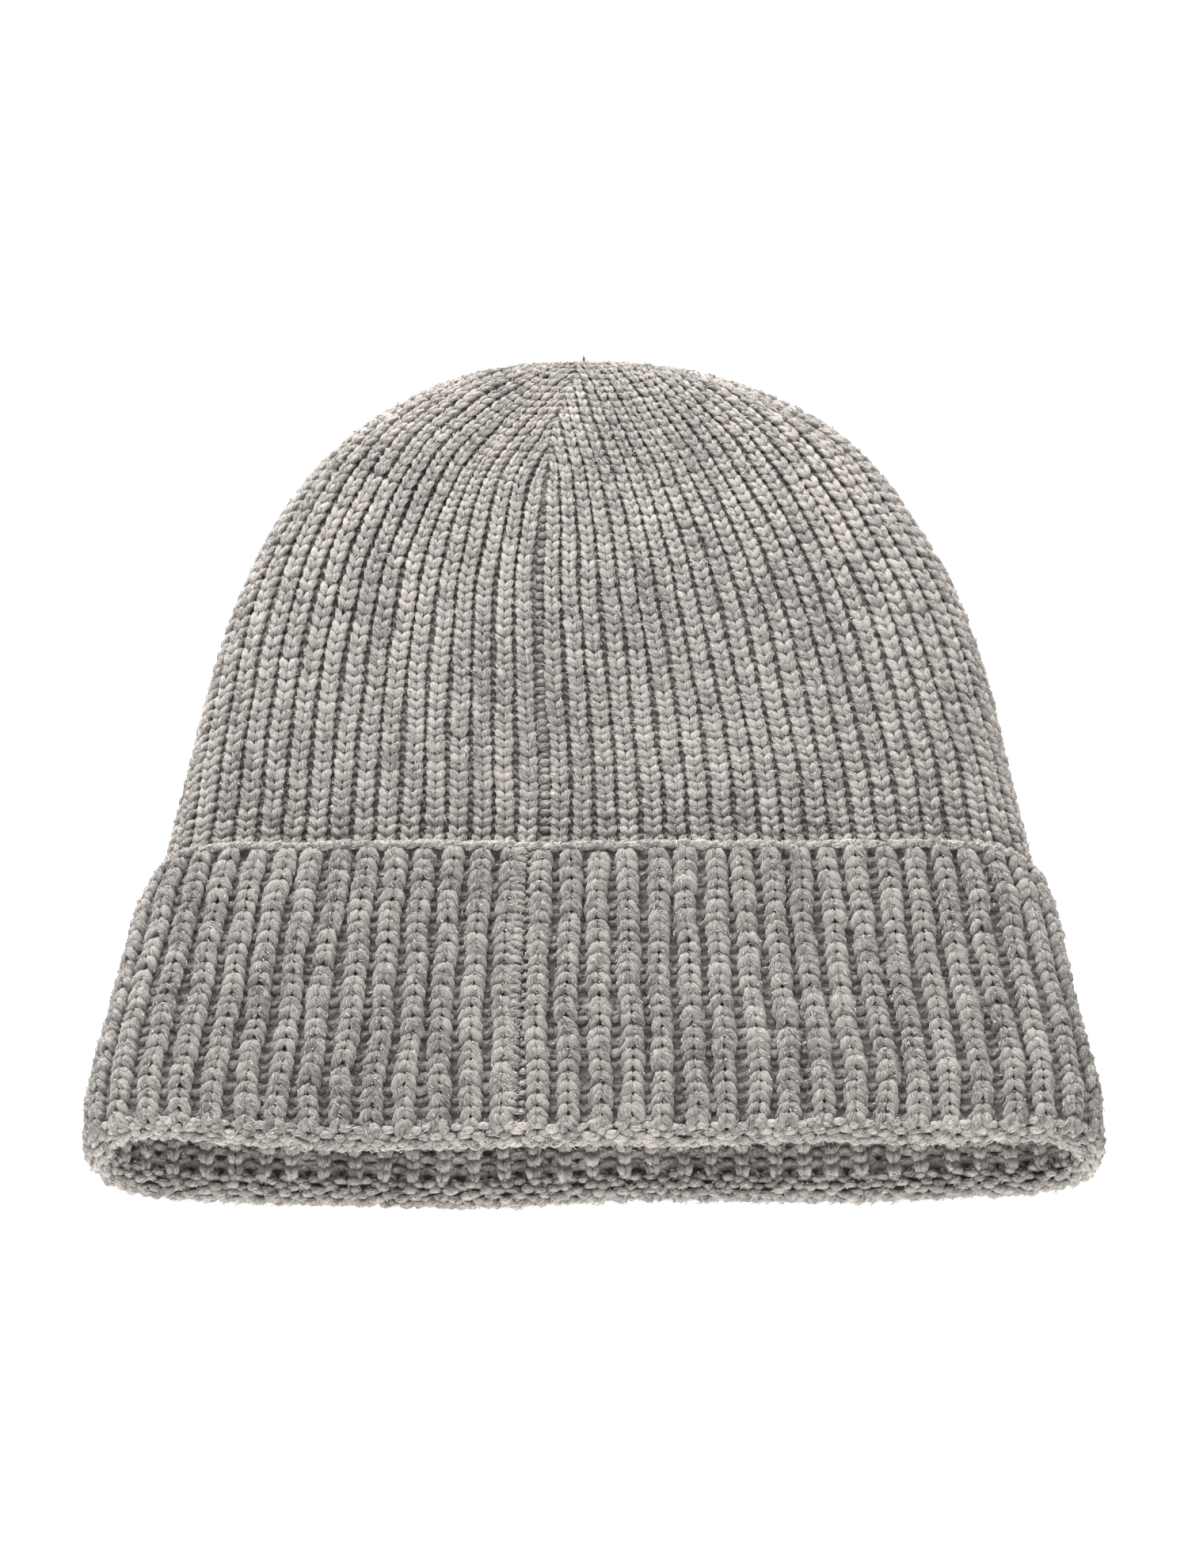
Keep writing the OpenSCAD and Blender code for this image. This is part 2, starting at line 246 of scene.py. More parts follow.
def ring_grid(inset, top_t, under_t, edge_run, bow, seam_x):
    """Rings of points around the hat, each starting on the back seam.

    top_t and under_t are where each ring crosses the middle, edge_run how far down the outline it turns
    over, and bow how far it bends like a ring around the crown.
    """
    x, t, run = outline(inset)
    edge_x, edge_t = np.interp(edge_run, run, x), np.interp(edge_run, run, t)
    slope_x = np.interp(edge_run + 0.5, run, x) - np.interp(edge_run - 0.5, run, x)
    slope_t = np.interp(edge_run + 0.5, run, t) - np.interp(edge_run - 0.5, run, t)
    size = np.hypot(slope_x, slope_t)
    outward = np.stack([-slope_t / size, slope_x / size], -1)
    flat = np.array([1.0, 0.0])
    end_dir = unit(outward * bow[:, None] + flat * (1 - bow[:, None]), 0)
    outline_points = np.stack([x, t], -1)[::2]

    def half_ring(start_t, top):
        """Right half of each ring in plan, from the middle to the outline, with its height."""
        start = np.stack([np.zeros_like(start_t), start_t], -1)
        end = np.stack([edge_x, edge_t], -1)
        reach = 0.39 * np.linalg.norm(end - start, axis=1, keepdims=True)
        tau = (1 - (1 - np.linspace(0, 1, QUARTER)) ** 2)[None, :, None]
        c1, c2 = start + flat * reach, end - end_dir * reach
        p = ((1 - tau) ** 3 * start[:, None] + 3 * (1 - tau) ** 2 * tau * c1[:, None]
             + 3 * (1 - tau) * tau ** 2 * c2[:, None] + tau ** 3 * end[:, None])
        near = np.linalg.norm(p - end[:, None], axis=2)
        for i in range(0, len(p), 16):
            gap = p[i:i + 16, :, None, :] - outline_points[None, None]
            near[i:i + 16] = np.minimum(near[i:i + 16], np.sqrt((gap ** 2).sum(-1)).min(2))
        tt = p[..., 1]
        high, low = top_height(tt, inset), floor_height(tt, inset)
        edge = mix(low, high, EDGE_SHARE)
        if top:
            z = edge + (high - edge) * rounded(near, TOP_ROUND)
        else:
            z = edge - (edge - low) * rounded(near, UNDER_ROUND)
        return p[..., 0], tt, z

    tx, tt, tz = half_ring(top_t, True)
    ux, ut, uz = half_ring(under_t, False)

    def once_around(top, under, left=1):
        """Top middle, right edge, under middle, left edge, and back to the top middle."""
        quarters = [top, under[:, ::-1][:, 1:], left * under[:, 1:], left * top[:, ::-1][:, 1:]]
        return np.concatenate(quarters, 1)

    px, pt, pz = once_around(tx, ux, -1), once_around(tt, ut), once_around(tz, uz)
    ring = np.stack([px + middle_x(pt), pt, pz], -1)
    steps = np.linalg.norm(np.diff(ring, axis=1), axis=2)
    run = np.concatenate([np.zeros((len(ring), 1)), np.cumsum(steps, 1)], 1)
    shares = np.arange(AROUND) / AROUND
    grid = np.empty((len(ring), AROUND, 3))
    last = ring.shape[1] - QUARTER
    for i in range(len(ring)):
        left_top = ring[i, last:]
        start = np.interp(seam_x(left_top[-1, 1]), left_top[:, 0], run[i, last:])
        at = (start + shares * run[i, -1]) % run[i, -1]
        for axis in range(3):
            grid[i, :, axis] = np.interp(at, run[i], ring[i, :, axis])
    return grid


class Surface:
    """The middle of a layer of fabric, as a grid of rings at steps of s."""

    def __init__(self, s, grid):
        self.s, self.grid = np.asarray(s, float), grid
        around = np.roll(grid, -1, 1) - np.roll(grid, 1, 1)
        along = np.gradient(grid, axis=0)
        self.normal = unit(np.cross(along, around))
        self.girth = np.linalg.norm(np.roll(grid, -1, 1) - grid, axis=2).sum(1)

    def at(self, s, a):
        """Position and normal at distance s and share a, both arrays of one shape."""
        i = np.clip(np.interp(s, self.s, np.arange(len(self.s))), 0, len(self.s) - 1.001)
        i0 = i.astype(int)
        fi = (i - i0)[..., None]
        j = (a % 1.0) * AROUND
        j0 = j.astype(int) % AROUND
        fj = (j - np.floor(j))[..., None]
        j1 = (j0 + 1) % AROUND

        def pick(table):
            near = table[i0, j0] * (1 - fj) + table[i0, j1] * fj
            far = table[i0 + 1, j0] * (1 - fj) + table[i0 + 1, j1] * fj
            return near * (1 - fi) + far * fi
        return pick(self.grid), unit(pick(self.normal))

    def girth_at(self, s):
        return np.interp(s, self.s, self.girth)


def body_surface():
    """From the crown (s = 0) down to the turned edge.

    Rings bow around the crown and straighten lower down.
    """
    inset = BODY_THICK / 2 + YARN_INSET
    s = np.concatenate([np.arange(1.0, 12, 0.75), np.arange(12, LENGTH + 8, 1.25)])

    def centre_line(reach, rise):
        """t along a middle line that turns over the crown's rounded end."""
        depth = np.linspace(0, 1, 400) ** 2 * (LENGTH + 20)
        z = rise * rounded(depth, reach)
        run = distances(np.hypot(np.diff(depth), np.diff(z)))
        return np.interp(s, run, LENGTH - inset - depth)

    high, low = top_height(LENGTH, inset), floor_height(LENGTH, inset)
    edge = mix(low, high, EDGE_SHARE)
    top_t = centre_line(TOP_ROUND, high - edge)
    under_t = centre_line(UNDER_ROUND, edge - low)
    both = (top_t + under_t) / 2
    calm = smooth((s - 30) / 40)
    top_t, under_t = mix(top_t, both, calm), mix(under_t, both, calm)
    # distance down the outline: as far as s near the crown, level with the middle above the cuff
    x, t, run = outline(inset)
    level = -(CUFF_TOP + 8)
    s_level, run_level = np.interp(level, -both, s), np.interp(level, -t, run)
    v = np.clip(s / s_level, 0, 1)
    spread = v - 0.5 * np.sin(2 * math.pi * v) / (2 * math.pi)
    edge_run = np.where(s < s_level, s + (run_level - s_level) * spread, np.interp(-both, -t, run))
    bow = 1 - smooth((s - 20) / (s_level - 20))
    return Surface(s, settle(ring_grid(inset, top_t, under_t, edge_run, bow, body_seam_x)))


BEND_STEPS = 14


def turned_surface():
    """From the cuff's free edge (s = 0) down to the fold, around it, and up the inside of the hat.

    Returns the surface and the s where the fold starts and ends. Outwards is out of the cuff, and towards
    the head inside.
    """
    def straight_rings(inset, t):
        x, outline_t, run = outline(inset)
        edge_run = np.interp(-t, -outline_t, run)
        return settle(ring_grid(inset, t, t, edge_run, np.zeros_like(t), cuff_seam_x))
    outer = straight_rings(-CUFF_THICK / 2 + YARN_INSET, np.arange(CUFF_TOP, FOLD_START - 0.5, -1.5))
    side = smooth((np.abs(outer[..., 0]) - 60) / 50) * np.sign(outer[..., 0])
    outer[..., 0] -= CORNER_PINCH * side * smooth((outer[..., 1] - CUFF_TOP + PINCH_LENGTH) / PINCH_LENGTH)
    inner = straight_rings(BODY_THICK / 2, np.arange(FOLD_START, CUFF_TOP - 2, 1.5))
    reach = FOLD_START - CUFF_THICK / 2
    turn = np.linspace(0, math.pi, BEND_STEPS + 2)[1:-1, None, None]
    middle, half = (outer[-1] + inner[0]) / 2, (outer[-1] - inner[0]) / 2
    bend = middle + np.cos(turn) * half + np.sin(turn) * np.array([0, -reach, 0])
    grid = np.concatenate([outer, bend, inner])
    steps = np.linalg.norm(np.diff(grid, axis=0), axis=2)[:, AROUND // 8]
    s = distances(steps)
    return Surface(s, grid), s[len(outer) - 1], s[len(outer) + BEND_STEPS]


# ---- yarn

def spline(points, count):
    """Points spaced evenly in parameter along a smooth curve through the given ones."""
    points = np.asarray(points, float)
    spans = len(points) - 1
    padded = np.concatenate([2 * points[:1] - points[1:2], points, 2 * points[-1:] - points[-2:-1]])
    u = np.linspace(0, spans, count)
    k = np.minimum(u.astype(int), spans - 1)
    f = (u - k)[:, None]
    a, b, c, d = padded[k], padded[k + 1], padded[k + 2], padded[k + 3]
    return 0.5 * (2 * b + (c - a) * f + (2 * a - 5 * b + 4 * c - d) * f ** 2
                  + (3 * b - a - 3 * c + d) * f ** 3)


def loop(half, count):
    """A whole loop from its right half. Rows are u, v in course heights, n and radius, head first."""
    half = np.asarray(half, float)
    left = half[::-1] * [-1, 1, 1, 1]
    return spline(np.concatenate([left[:-1], half]), count)


# The loop that shows: a plump V. u, n and radius are in millimetres.
SHOWN_LOOP = [
    (0.00, 1.44, -0.75, 0.66), (0.92, 1.42, -0.50, 0.80), (1.42, 1.14, 0.25, 0.98),
    (1.36, 0.80, 0.90, 1.08), (1.00, 0.44, 1.16, 1.18), (0.66, 0.10, 1.00, 1.12),
    (0.44, -0.20, 0.25, 0.90)]
# In the cuff it is stretched wider, with its feet still close together
WIDE_LOOP = [
    (0.00, 1.44, 0.00, 0.98), (0.92, 1.42, -0.20, 0.90), (1.54, 1.14, 0.25, 1.02),
    (1.47, 0.80, 0.90, 1.08), (1.04, 0.44, 1.16, 1.15), (0.58, 0.10, 1.00, 1.12),
    (0.32, -0.20, 0.25, 1.00)]
# The loop behind it, on the fabric's other side
BACK_LOOP = [
    (0.00, 1.25, -0.35, 0.86), (1.25, 0.98, -0.65, 0.86), (1.05, 0.46, -1.15, 1.00),
    (0.40, 0.02, -0.60, 0.82)]


class Ribs:
    """Where the columns of stitches lie on a surface. seam_gap is left free beside the back seam."""

    def __init__(self, surface, count, seam_gap, wander, widest, rough=1.0, darts=False):
        self.surface, self.count, self.seam_gap, self.darts = surface, count, seam_gap, darts
        self.wander, self.widest, self.rough = wander, widest, rough
        self.per_gore = count // GORES
        self.phase = rng.uniform(0, 2 * math.pi, (3, count + GORES))

    def gaps(self, s, gore):
        """Width left free at the start and the end of a gore."""
        dart, seam = 0 * s, self.seam_gap
        if self.darts:
            dart = DART_GAP * smooth((DART_S - s) / 10)
            seam = seam * (1 - 0.5 * smooth((DART_S + 10 - s) / 30))
        start = np.where(gore == 0, seam, dart)
        end = np.where(gore == GORES - 1, seam, dart)
        return start, end

    def pitch(self, s, gore):
        """Width of one rib. Towards the crown it shrinks less than the girth does, so ribs drop out."""
        level = s
        if self.darts:
            level = DART_S + DART_EASE * np.logaddexp(0, (s - DART_S) / DART_EASE)
        start, end = self.gaps(level, gore)
        full = (self.surface.girth_at(level) / GORES - start - end) / self.per_gore
        if not self.darts:
            return full
        return full * (self.surface.girth_at(s) / self.surface.girth_at(level)) ** 0.42

    def columns(self, s):
        """The ribs that a course has, as gore and place from the gore's middle, and their numbers."""
        number = np.arange(self.count)
        gore = number // self.per_gore
        k = number % self.per_gore - (self.per_gore - 1) / 2
        if not self.darts:
            return gore, k, number
        kept = self.fit(s, gore, k)[0] > LEAST_RIB
        return gore[kept], k[kept], number[kept]

    def fit(self, s, gore, k):
        """How much of its width each rib keeps where a dart cuts it, and how far that moves its middle."""
        start, end = self.gaps(s + 0 * k, gore)
        room = (self.surface.girth_at(s) / GORES - start - end) / 2
        width = RIB_SHARE * self.pitch(s, gore)
        kept = np.clip((room - np.abs(k) * self.pitch(s, gore)) / width + 0.5, 0, 1)
        return kept, -np.sign(k) * width * (1 - kept) / 2

    def share(self, s, gore, k, number, offset):
        """Share around of the place offset millimetres beside a rib's middle."""
        girth = self.surface.girth_at(s)
        start, end = self.gaps(s, gore)
        quarter = girth / GORES
        drift = (np.sin(s / 13.1 + self.phase[0][number]) + 0.7 * np.sin(s / 6.3 + self.phase[1][number])
                 + 0.5 * np.sin(s / 3.1 + self.phase[2][number]))
        place = gore * quarter + (quarter + start - end) / 2 + k * self.pitch(s, gore)
        return (place + offset + self.wander * drift) / girth


def course_points(ribs, s, course, up, shown, back, gore=None):
    """One course of 1 by 1 rib as a line of yarn: positions, surface normals and radii.

    up is the direction of s in which the loops' heads point. With a gore given, it is that gore's part.
    """
    gores, k, number = ribs.columns(s)
    if gore is not None:
        chosen = gores == gore
        gores, k, number = gores[chosen], k[chosen], number[chosen]
    count = len(k)
    if count == 0:
        return None
    pitch = ribs.pitch(s + 0 * k, gores)[:, None]
    kept, moved = (part[:, None] for part in ribs.fit(s, gores, k)) if ribs.darts else (1.0, 0.0)
    scale = np.minimum(ribs.widest, pitch / DRAWN_PITCH)
    jitter = rng.normal(0, ribs.rough, (count, 5))
    lean = 0.12 * jitter[:, 3:4]
    parts = []
    for template, beside in ((shown, 0.0), (back, 0.5)):
        lumps = rng.normal(0, ribs.rough, (3, count, len(template)))
        u = template[:, 0] * scale * (1 + 0.05 * jitter[:, :1]) + beside * pitch + 0.05 * lumps[0]
        u = u * kept + moved
        v = template[:, 1] + 0.08 * jitter[:, 1:2] + 0.03 * lumps[1]
        n = template[:, 2] + 0.09 * jitter[:, 4:5] + 0.05 * lumps[2]
        r = template[:, 3] * scale ** 0.9 * (1 + 0.06 * jitter[:, 2:3]) * kept ** 0.6
        parts.append((u + lean * (v - 0.5), v, n, r))
    u, v, n, r = (np.concatenate(pair, 1) for pair in zip(*parts))
    where = s + up * v * course
    share = ribs.share(where, gores[:, None], k[:, None], number[:, None], u)
    position, normal = ribs.surface.at(where, share)
    position = position + normal * n[..., None]
    return position.reshape(-1, 3), normal.reshape(-1, 3), r.reshape(-1), n.reshape(-1)


class Tubes:
    """Gathers lines of yarn into one mesh."""

    def __init__(self):
        self.parts, self.quads, self.caps = [], [], []
        self.size = 0

    def add(self, line, normal, radius, level, closed=True):
        """level is how far the yarn's middle lies above the middle of the fabric."""
        line = np.asarray(line, float)
        count = len(line)
        if closed:
            ahead, behind = np.roll(line, -1, 0), np.roll(line, 1, 0)
        else:
            ahead = np.concatenate([line[1:], 2 * line[-1:] - line[-2:-1]])
            behind = np.concatenate([2 * line[:1] - line[1:2], line[:-1]])
        tangent = unit(ahead - behind)
        side = unit(np.cross(tangent, normal))
        ring, angle = circle(TUBE_SIDES, np.cross(side, tangent), side)
        radius = np.asarray(radius, float)
        points = (line[:, None] + ring * radius[:, None, None]).reshape(-1, 3)
        level = np.asarray(level, float) + 0 * radius
        level = (level[:, None] + radius[:, None] * (ring * normal[:, None]).sum(2)).reshape(-1)
        run = distances(np.linalg.norm(np.diff(line, axis=0), axis=1))
        run = (run + rng.uniform(0, 500))[:, None] + 0 * angle[None]
        strand = np.stack([run, np.cos(angle)[None] + 0 * run, np.sin(angle)[None] + 0 * run], -1)
        strand = strand.reshape(-1, 3)
        corner = np.arange(count * TUBE_SIDES).reshape(count, TUBE_SIDES)
        beside, after = np.roll(corner, -1, 1), np.roll(corner, -1, 0)
        quads = np.stack([corner, beside, np.roll(beside, -1, 0), after], -1)
        self.quads.append(quads[:count if closed else -1].reshape(-1, 4) + self.size)
        lead = np.repeat(tangent, TUBE_SIDES, 0)
        ring = ring.reshape(-1, 3)
        if not closed:
            # round the ends off to a point
            tips = np.array([line[0] - tangent[0] * radius[0] * 0.6,
                             line[-1] + tangent[-1] * radius[-1] * 0.6])
            points = np.concatenate([points, tips])
            strand, lead, level = (np.concatenate([part, part[:1], part[-1:]])
                                   for part in (strand, lead, level))
            ring = np.concatenate([ring, -tangent[:1], tangent[-1:]])
            tip = np.full_like(corner[0], corner.size)
            self.caps += [np.stack([beside[0], corner[0], tip], -1) + self.size,
                          np.stack([corner[-1], beside[-1], tip + 1], -1) + self.size]
        self.parts.append((points, strand, ring, lead, level))
        self.size += len(points)

    def piece(self, name, material):
        points, strand, out, lead, level = (np.concatenate(part) for part in zip(*self.parts))
        points[:, 2] = np.maximum(points[:, 2], TABLE_GAP)
        caps = np.concatenate(self.caps) if self.caps else None
        make_piece(name, points, np.concatenate(self.quads), caps, material, strand, level)
        SKINS[name] = (points, out, lead, level)


# Every piece by its name
pieces = {}


def named(*starts):
    """Names of the pieces made so far that start in one of these ways."""
    return [name for name in pieces if name.startswith(starts)]


# What fuzz grows on, by the name of the piece: points, outward and lengthwise directions, and level
SKINS = {}


def make_piece(name, points, quads, triangles, material, strand=None, level=None):
    """A piece of the hat from arrays in millimetres, put where the CAD model is."""
    mesh = bpy.data.meshes.new(name)
    points = np.asarray(points, float).copy()
    points[:, 1] += MOUTH_Y
    indices, starts = quads.ravel(), np.arange(0, quads.size, quads.shape[1])
    if triangles is not None:
        starts = np.concatenate([starts, quads.size + np.arange(0, triangles.size, 3)])
        indices = np.concatenate([indices, triangles.ravel()])
    mesh.vertices.add(len(points))
    mesh.vertices.foreach_set("co", (points * MM).astype(np.float32).ravel())
    mesh.loops.add(len(indices))
    mesh.loops.foreach_set("vertex_index", indices.astype(np.int32))
    mesh.polygons.add(len(starts))
    mesh.polygons.foreach_set("loop_start", starts.astype(np.int32))
    mesh.polygons.foreach_set("use_smooth", np.ones(len(starts), bool))
    mesh.update(calc_edges=True)
    if strand is not None:
        layer = mesh.attributes.new("strand", "FLOAT_VECTOR", "POINT")
        layer.data.foreach_set("vector", strand.astype(np.float32).ravel())
    if level is not None:
        layer = mesh.attributes.new("level", "FLOAT", "POINT")
        layer.data.foreach_set("value", level.astype(np.float32))
    mesh.materials.append(material)
    piece = bpy.data.objects.new(name, mesh)
    bpy.context.scene.collection.objects.link(piece)
    pieces[name] = piece
    return piece


# ---- materials

YARN_TINT = (1.0, 0.925, 0.855)
# Fine strands around a yarn, and how fast they turn along it
LOBES, TWIST = 13, 0.62
# Where the painted light that makes the wool's colour lighter towards the crown starts
PAINTED_LIGHT_START = 110.0


def set_inputs(node, values):
    for socket, value in values.items():
        node.inputs[socket].default_value = value


def grey_ramp(nodes, *stops):
    """A ramp between two greys of the wool's tint, given as position and brightness."""
    ramp = nodes.new("ShaderNodeValToRGB")
    for element, (position, grey) in zip(ramp.color_ramp.elements, stops):
        element.position = position
        element.color = (*(grey * c for c in YARN_TINT), 1)
    return ramp


def new_material(name, values):
    """A material with values set on its shader. Returns it, its nodes, its links and the shader."""
    material = bpy.data.materials.new(name)
    material.use_nodes = True
    nodes, links = material.node_tree.nodes, material.node_tree.links
    shader = nodes["Principled BSDF"]
    set_inputs(shader, values)
    return material, nodes, links, shader


def yarn_material(name, low, high, deep=0.6, crown=0.0):
    """Heather wool: fine strands twisted together, of light and dark grey fibres.

    deep is how much of its brightness the yarn keeps deep in the fabric, as painted shade darkening its
    colour, and crown how much lighter its colour is painted towards the crown, as painted light.
    """
    material, nodes, links, shader = new_material(name, {
        "Roughness": 0.9, "Specular IOR Level": 0.1, "Sheen Weight": 0.25, "Sheen Roughness": 0.5})

    def math_node(operation, *values):
        node = nodes.new("ShaderNodeMath")
        node.operation = operation
        for socket, value in zip(node.inputs, values):
            if isinstance(value, (int, float)):
                socket.default_value = value
            else:
                links.new(value, socket)
        return node.outputs[0]

    def noise(source, scale, stretch, detail):
        mapping = nodes.new("ShaderNodeMapping")
        mapping.inputs["Scale"].default_value = stretch
        links.new(source, mapping.inputs["Vector"])
        texture = nodes.new("ShaderNodeTexNoise")
        set_inputs(texture, {"Scale": scale, "Detail": detail})
        links.new(mapping.outputs["Vector"], texture.inputs["Vector"])
        return texture.outputs["Fac"]

    def attribute(layer, output):
        node = nodes.new("ShaderNodeAttribute")
        node.attribute_name = layer
        return node.outputs[output]

    def ease(source, from_min, from_max, to_min, to_max):
        node = nodes.new("ShaderNodeMapRange")
        node.interpolation_type = "SMOOTHSTEP"
        set_inputs(node, {"From Min": from_min, "From Max": from_max, "To Min": to_min, "To Max": to_max})
        links.new(source, node.inputs["Value"])
        return node.outputs["Result"]

    def axes(vector):
        node = nodes.new("ShaderNodeSeparateXYZ")
        links.new(vector, node.inputs["Vector"])
        return node.outputs

    strand = attribute("strand", "Vector")
    run, cosine, sine = axes(strand)
    spin = math_node("MULTIPLY_ADD", run, TWIST, math_node("ARCTAN2", sine, cosine))
    join = nodes.new("ShaderNodeCombineXYZ")
    links.new(run, join.inputs[0])
    links.new(math_node("COSINE", spin), join.inputs[1])
    links.new(math_node("SINE", spin), join.inputs[2])
    place = nodes.new("ShaderNodeTexCoord")

    fibres = noise(join.outputs["Vector"], 1.0, (1.1, 4.5, 4.5), 3.0)
    slubs = noise(strand, 1.0, (0.30, 0.5, 0.5), 2.0)
    patches = noise(place.outputs["Object"], 90.0, (1.0, 0.4, 1.0), 2.0)
    wobble = noise(join.outputs["Vector"], 1.0, (1.3, 1.6, 1.6), 2.0)
    turns = math_node("MULTIPLY_ADD", wobble, 14.0, math_node("MULTIPLY", spin, LOBES / 2))
    lobe = math_node("ABSOLUTE", math_node("SINE", turns))

    tone = math_node("MULTIPLY_ADD", patches, 0.75, -1.45)
    # the strands' lobes add to the tone: their ridges are painted lighter and the grooves between them
    # darker, painted shade that follows their bump
    for part, weight in ((slubs, 1.2), (fibres, 1.8), (lobe, 0.35)):
        tone = math_node("MULTIPLY_ADD", part, weight, tone)
    ramp = grey_ramp(nodes, (0.12, low), (0.92, high))
    links.new(tone, ramp.inputs["Fac"])
    # painted shade: the deeper the yarn lies between the ribs, the darker its colour is made, for the shade
    # that falls there
    shade = ease(attribute("level", "Fac"), -0.4, 1.5, deep, 1.0)
    # and painted light: its colour is made lighter towards the crown, where more light falls on the wool
    painted_crown_light = ease(axes(place.outputs["Object"])["Y"], (MOUTH_Y + PAINTED_LIGHT_START) * MM, (MOUTH_Y + LENGTH) * MM,
                1.0, 1.0 + crown)
    dim = nodes.new("ShaderNodeMix")
    dim.data_type = "RGBA"
    dim.blend_type = "MULTIPLY"
    dim.inputs[0].default_value = 1.0
    links.new(ramp.outputs["Color"], dim.inputs[6])
    links.new(math_node("MULTIPLY", shade, painted_crown_light), dim.inputs[7])
    links.new(dim.outputs[2], shader.inputs["Base Color"])

    bump = nodes.new("ShaderNodeBump")
    set_inputs(bump, {"Strength": 0.8, "Distance": 0.0003})
    height = math_node("MULTIPLY_ADD", fibres, 2.0, math_node("MULTIPLY", lobe, 0.5))
    links.new(height, bump.inputs["Height"])
    links.new(bump.outputs["Normal"], shader.inputs["Normal"])
    return material


# Copies of one grey wool, set lighter or darker by region as painted light and shade: the fold, the turned
# edge and the inside of the brim are painted lighter and the cuff darker; the cuff and the inside of the
# brim get more painted shade between their ribs, and the crown less
BODY_YARN = yarn_material("body_yarn", 0.06, 0.43, 0.68, crown=0.36)
CROWN_YARN = yarn_material("crown_yarn", 0.065, 0.43, 0.80, crown=0.36)
CUFF_YARN = yarn_material("cuff_yarn", 0.05, 0.35, 0.30)
FOLD_YARN = yarn_material("fold_yarn", 0.09, 0.49, 0.74)
EDGE_YARN = yarn_material("edge_yarn", 0.09, 0.50, 0.68)
INNER_YARN = yarn_material("inner_yarn", 0.15, 0.66, 0.36)
SEAM_YARN = yarn_material("seam_yarn", 0.06, 0.40)
# painted shade: the core that fills the fabric between the yarn is coloured far darker than the yarn, for
# the shade deep in the fabric
PAINTED_SHADE_CORE = yarn_material("painted_shade_core", 0.05, 0.16)


# ---- knitting

def courses(first, last, height):
    """Places of the courses from first to last, as near to one height apart as fits."""
    count = int(round(abs(last - first) / height))
    return np.linspace(first, last, count + 1)


def fabric_core(name, surface, s_range, n_range, around=240, along=60):
    """A thin closed layer between two levels of n, all the way round. Returns it and its area."""
    s = np.linspace(*s_range, along)
    a = np.arange(around) / around
    ss, aa = np.meshgrid(s, a, indexing="ij")
    position, normal = surface.at(ss, aa)
    high, low = position + normal * n_range[1], position + normal * n_range[0]
    points = np.concatenate([high.reshape(-1, 3), low.reshape(-1, 3)])
    points[:, 2] = np.maximum(points[:, 2], CORE_GAP)
    corner = np.arange(2 * along * around).reshape(2, along, around)
    beside = np.roll(corner, -1, 2)
    sides = [(corner[0, :-1], beside[0, :-1], beside[0, 1:], corner[0, 1:]),
             (corner[1, :-1], corner[1, 1:], beside[1, 1:], beside[1, :-1]),
             (corner[0, 0], corner[1, 0], beside[1, 0], beside[0, 0]),
             (beside[0, -1], beside[1, -1], corner[1, -1], corner[0, -1])]
    quads = np.concatenate([np.stack(side, -1).reshape(-1, 4) for side in sides])
    strand = np.stack([ss, np.cos(aa * 900), np.sin(aa * 900)], -1).reshape(-1, 3)
    area = np.linalg.norm(np.cross(np.diff(position, axis=0)[:, :-1], np.diff(position, axis=1)[:-1]),
                          axis=2).sum()
    # the core is coloured as painted shade
    core = make_piece(name, points, quads, None, PAINTED_SHADE_CORE, np.concatenate([strand, strand]))
    return core, area * MM * MM


body = body_surface()
turned, fold_first, fold_last = turned_surface()

body_ribs = Ribs(body, BODY_RIBS, seam_gap=1.0, wander=0.18, widest=1.03, darts=True)
cuff_ribs = Ribs(turned, BRIM_RIBS, seam_gap=0.4, wander=0.34, widest=1.15, rough=1.5)

shown_loop, shown_cuff = loop(SHOWN_LOOP, 13), loop(WIDE_LOOP, 13)
back_loop = loop(BACK_LOOP, 7)
# the cuff is stretched wider, so the yarn between its ribs shows more
back_cuff = back_loop * [1.35, 1, 1.0, 1.15]
# inside the brim the ribs are narrow and the bumps between them wide
shown_inside = loop(SHOWN_LOOP, 11) * [0.64, 1, 1.15, 0.80]
back_inside = loop(BACK_LOOP, 9) * [1.6, 1, 0.5, 1.35]
# brushed up towards the crown, the wool fills the grooves
back_crown = back_loop * [1.1, 1, 0.55, 1.1]


def body_s(t):
    """Distance down the fabric at which the top of the body is at station t."""
    return float(np.interp(-t, -body.grid[:, 0, 1], body.s))


def knit_bands(name, bands, ribs, rows, height, up, shown, back, material):
    """Courses of stitches all the way round, as a few pieces one above the other."""
    for number, band in enumerate(np.array_split(rows, bands)):
        tubes = Tubes()
        for s in band:
            tubes.add(*course_points(ribs, s, height, up, shown, back))
        tubes.piece(f"{name}_{number + 1}", material)


# Body and crown
s_crown = body_s(CROWN_START)
all_courses = courses(body_s(CUFF_TOP - 6), 5.0, BODY_COURSE)
knit_bands("body_knit", 5, body_ribs, all_courses[all_courses > s_crown], BODY_COURSE, -1,
           shown_loop, back_loop, BODY_YARN)

GORE_NAMES = ["back_right", "front_right", "front_left", "back_left"]
# Width and thickness of the stitches on a dart, as shares of a rib's
DART_SCALE, DART_THICK = 0.62, 0.72
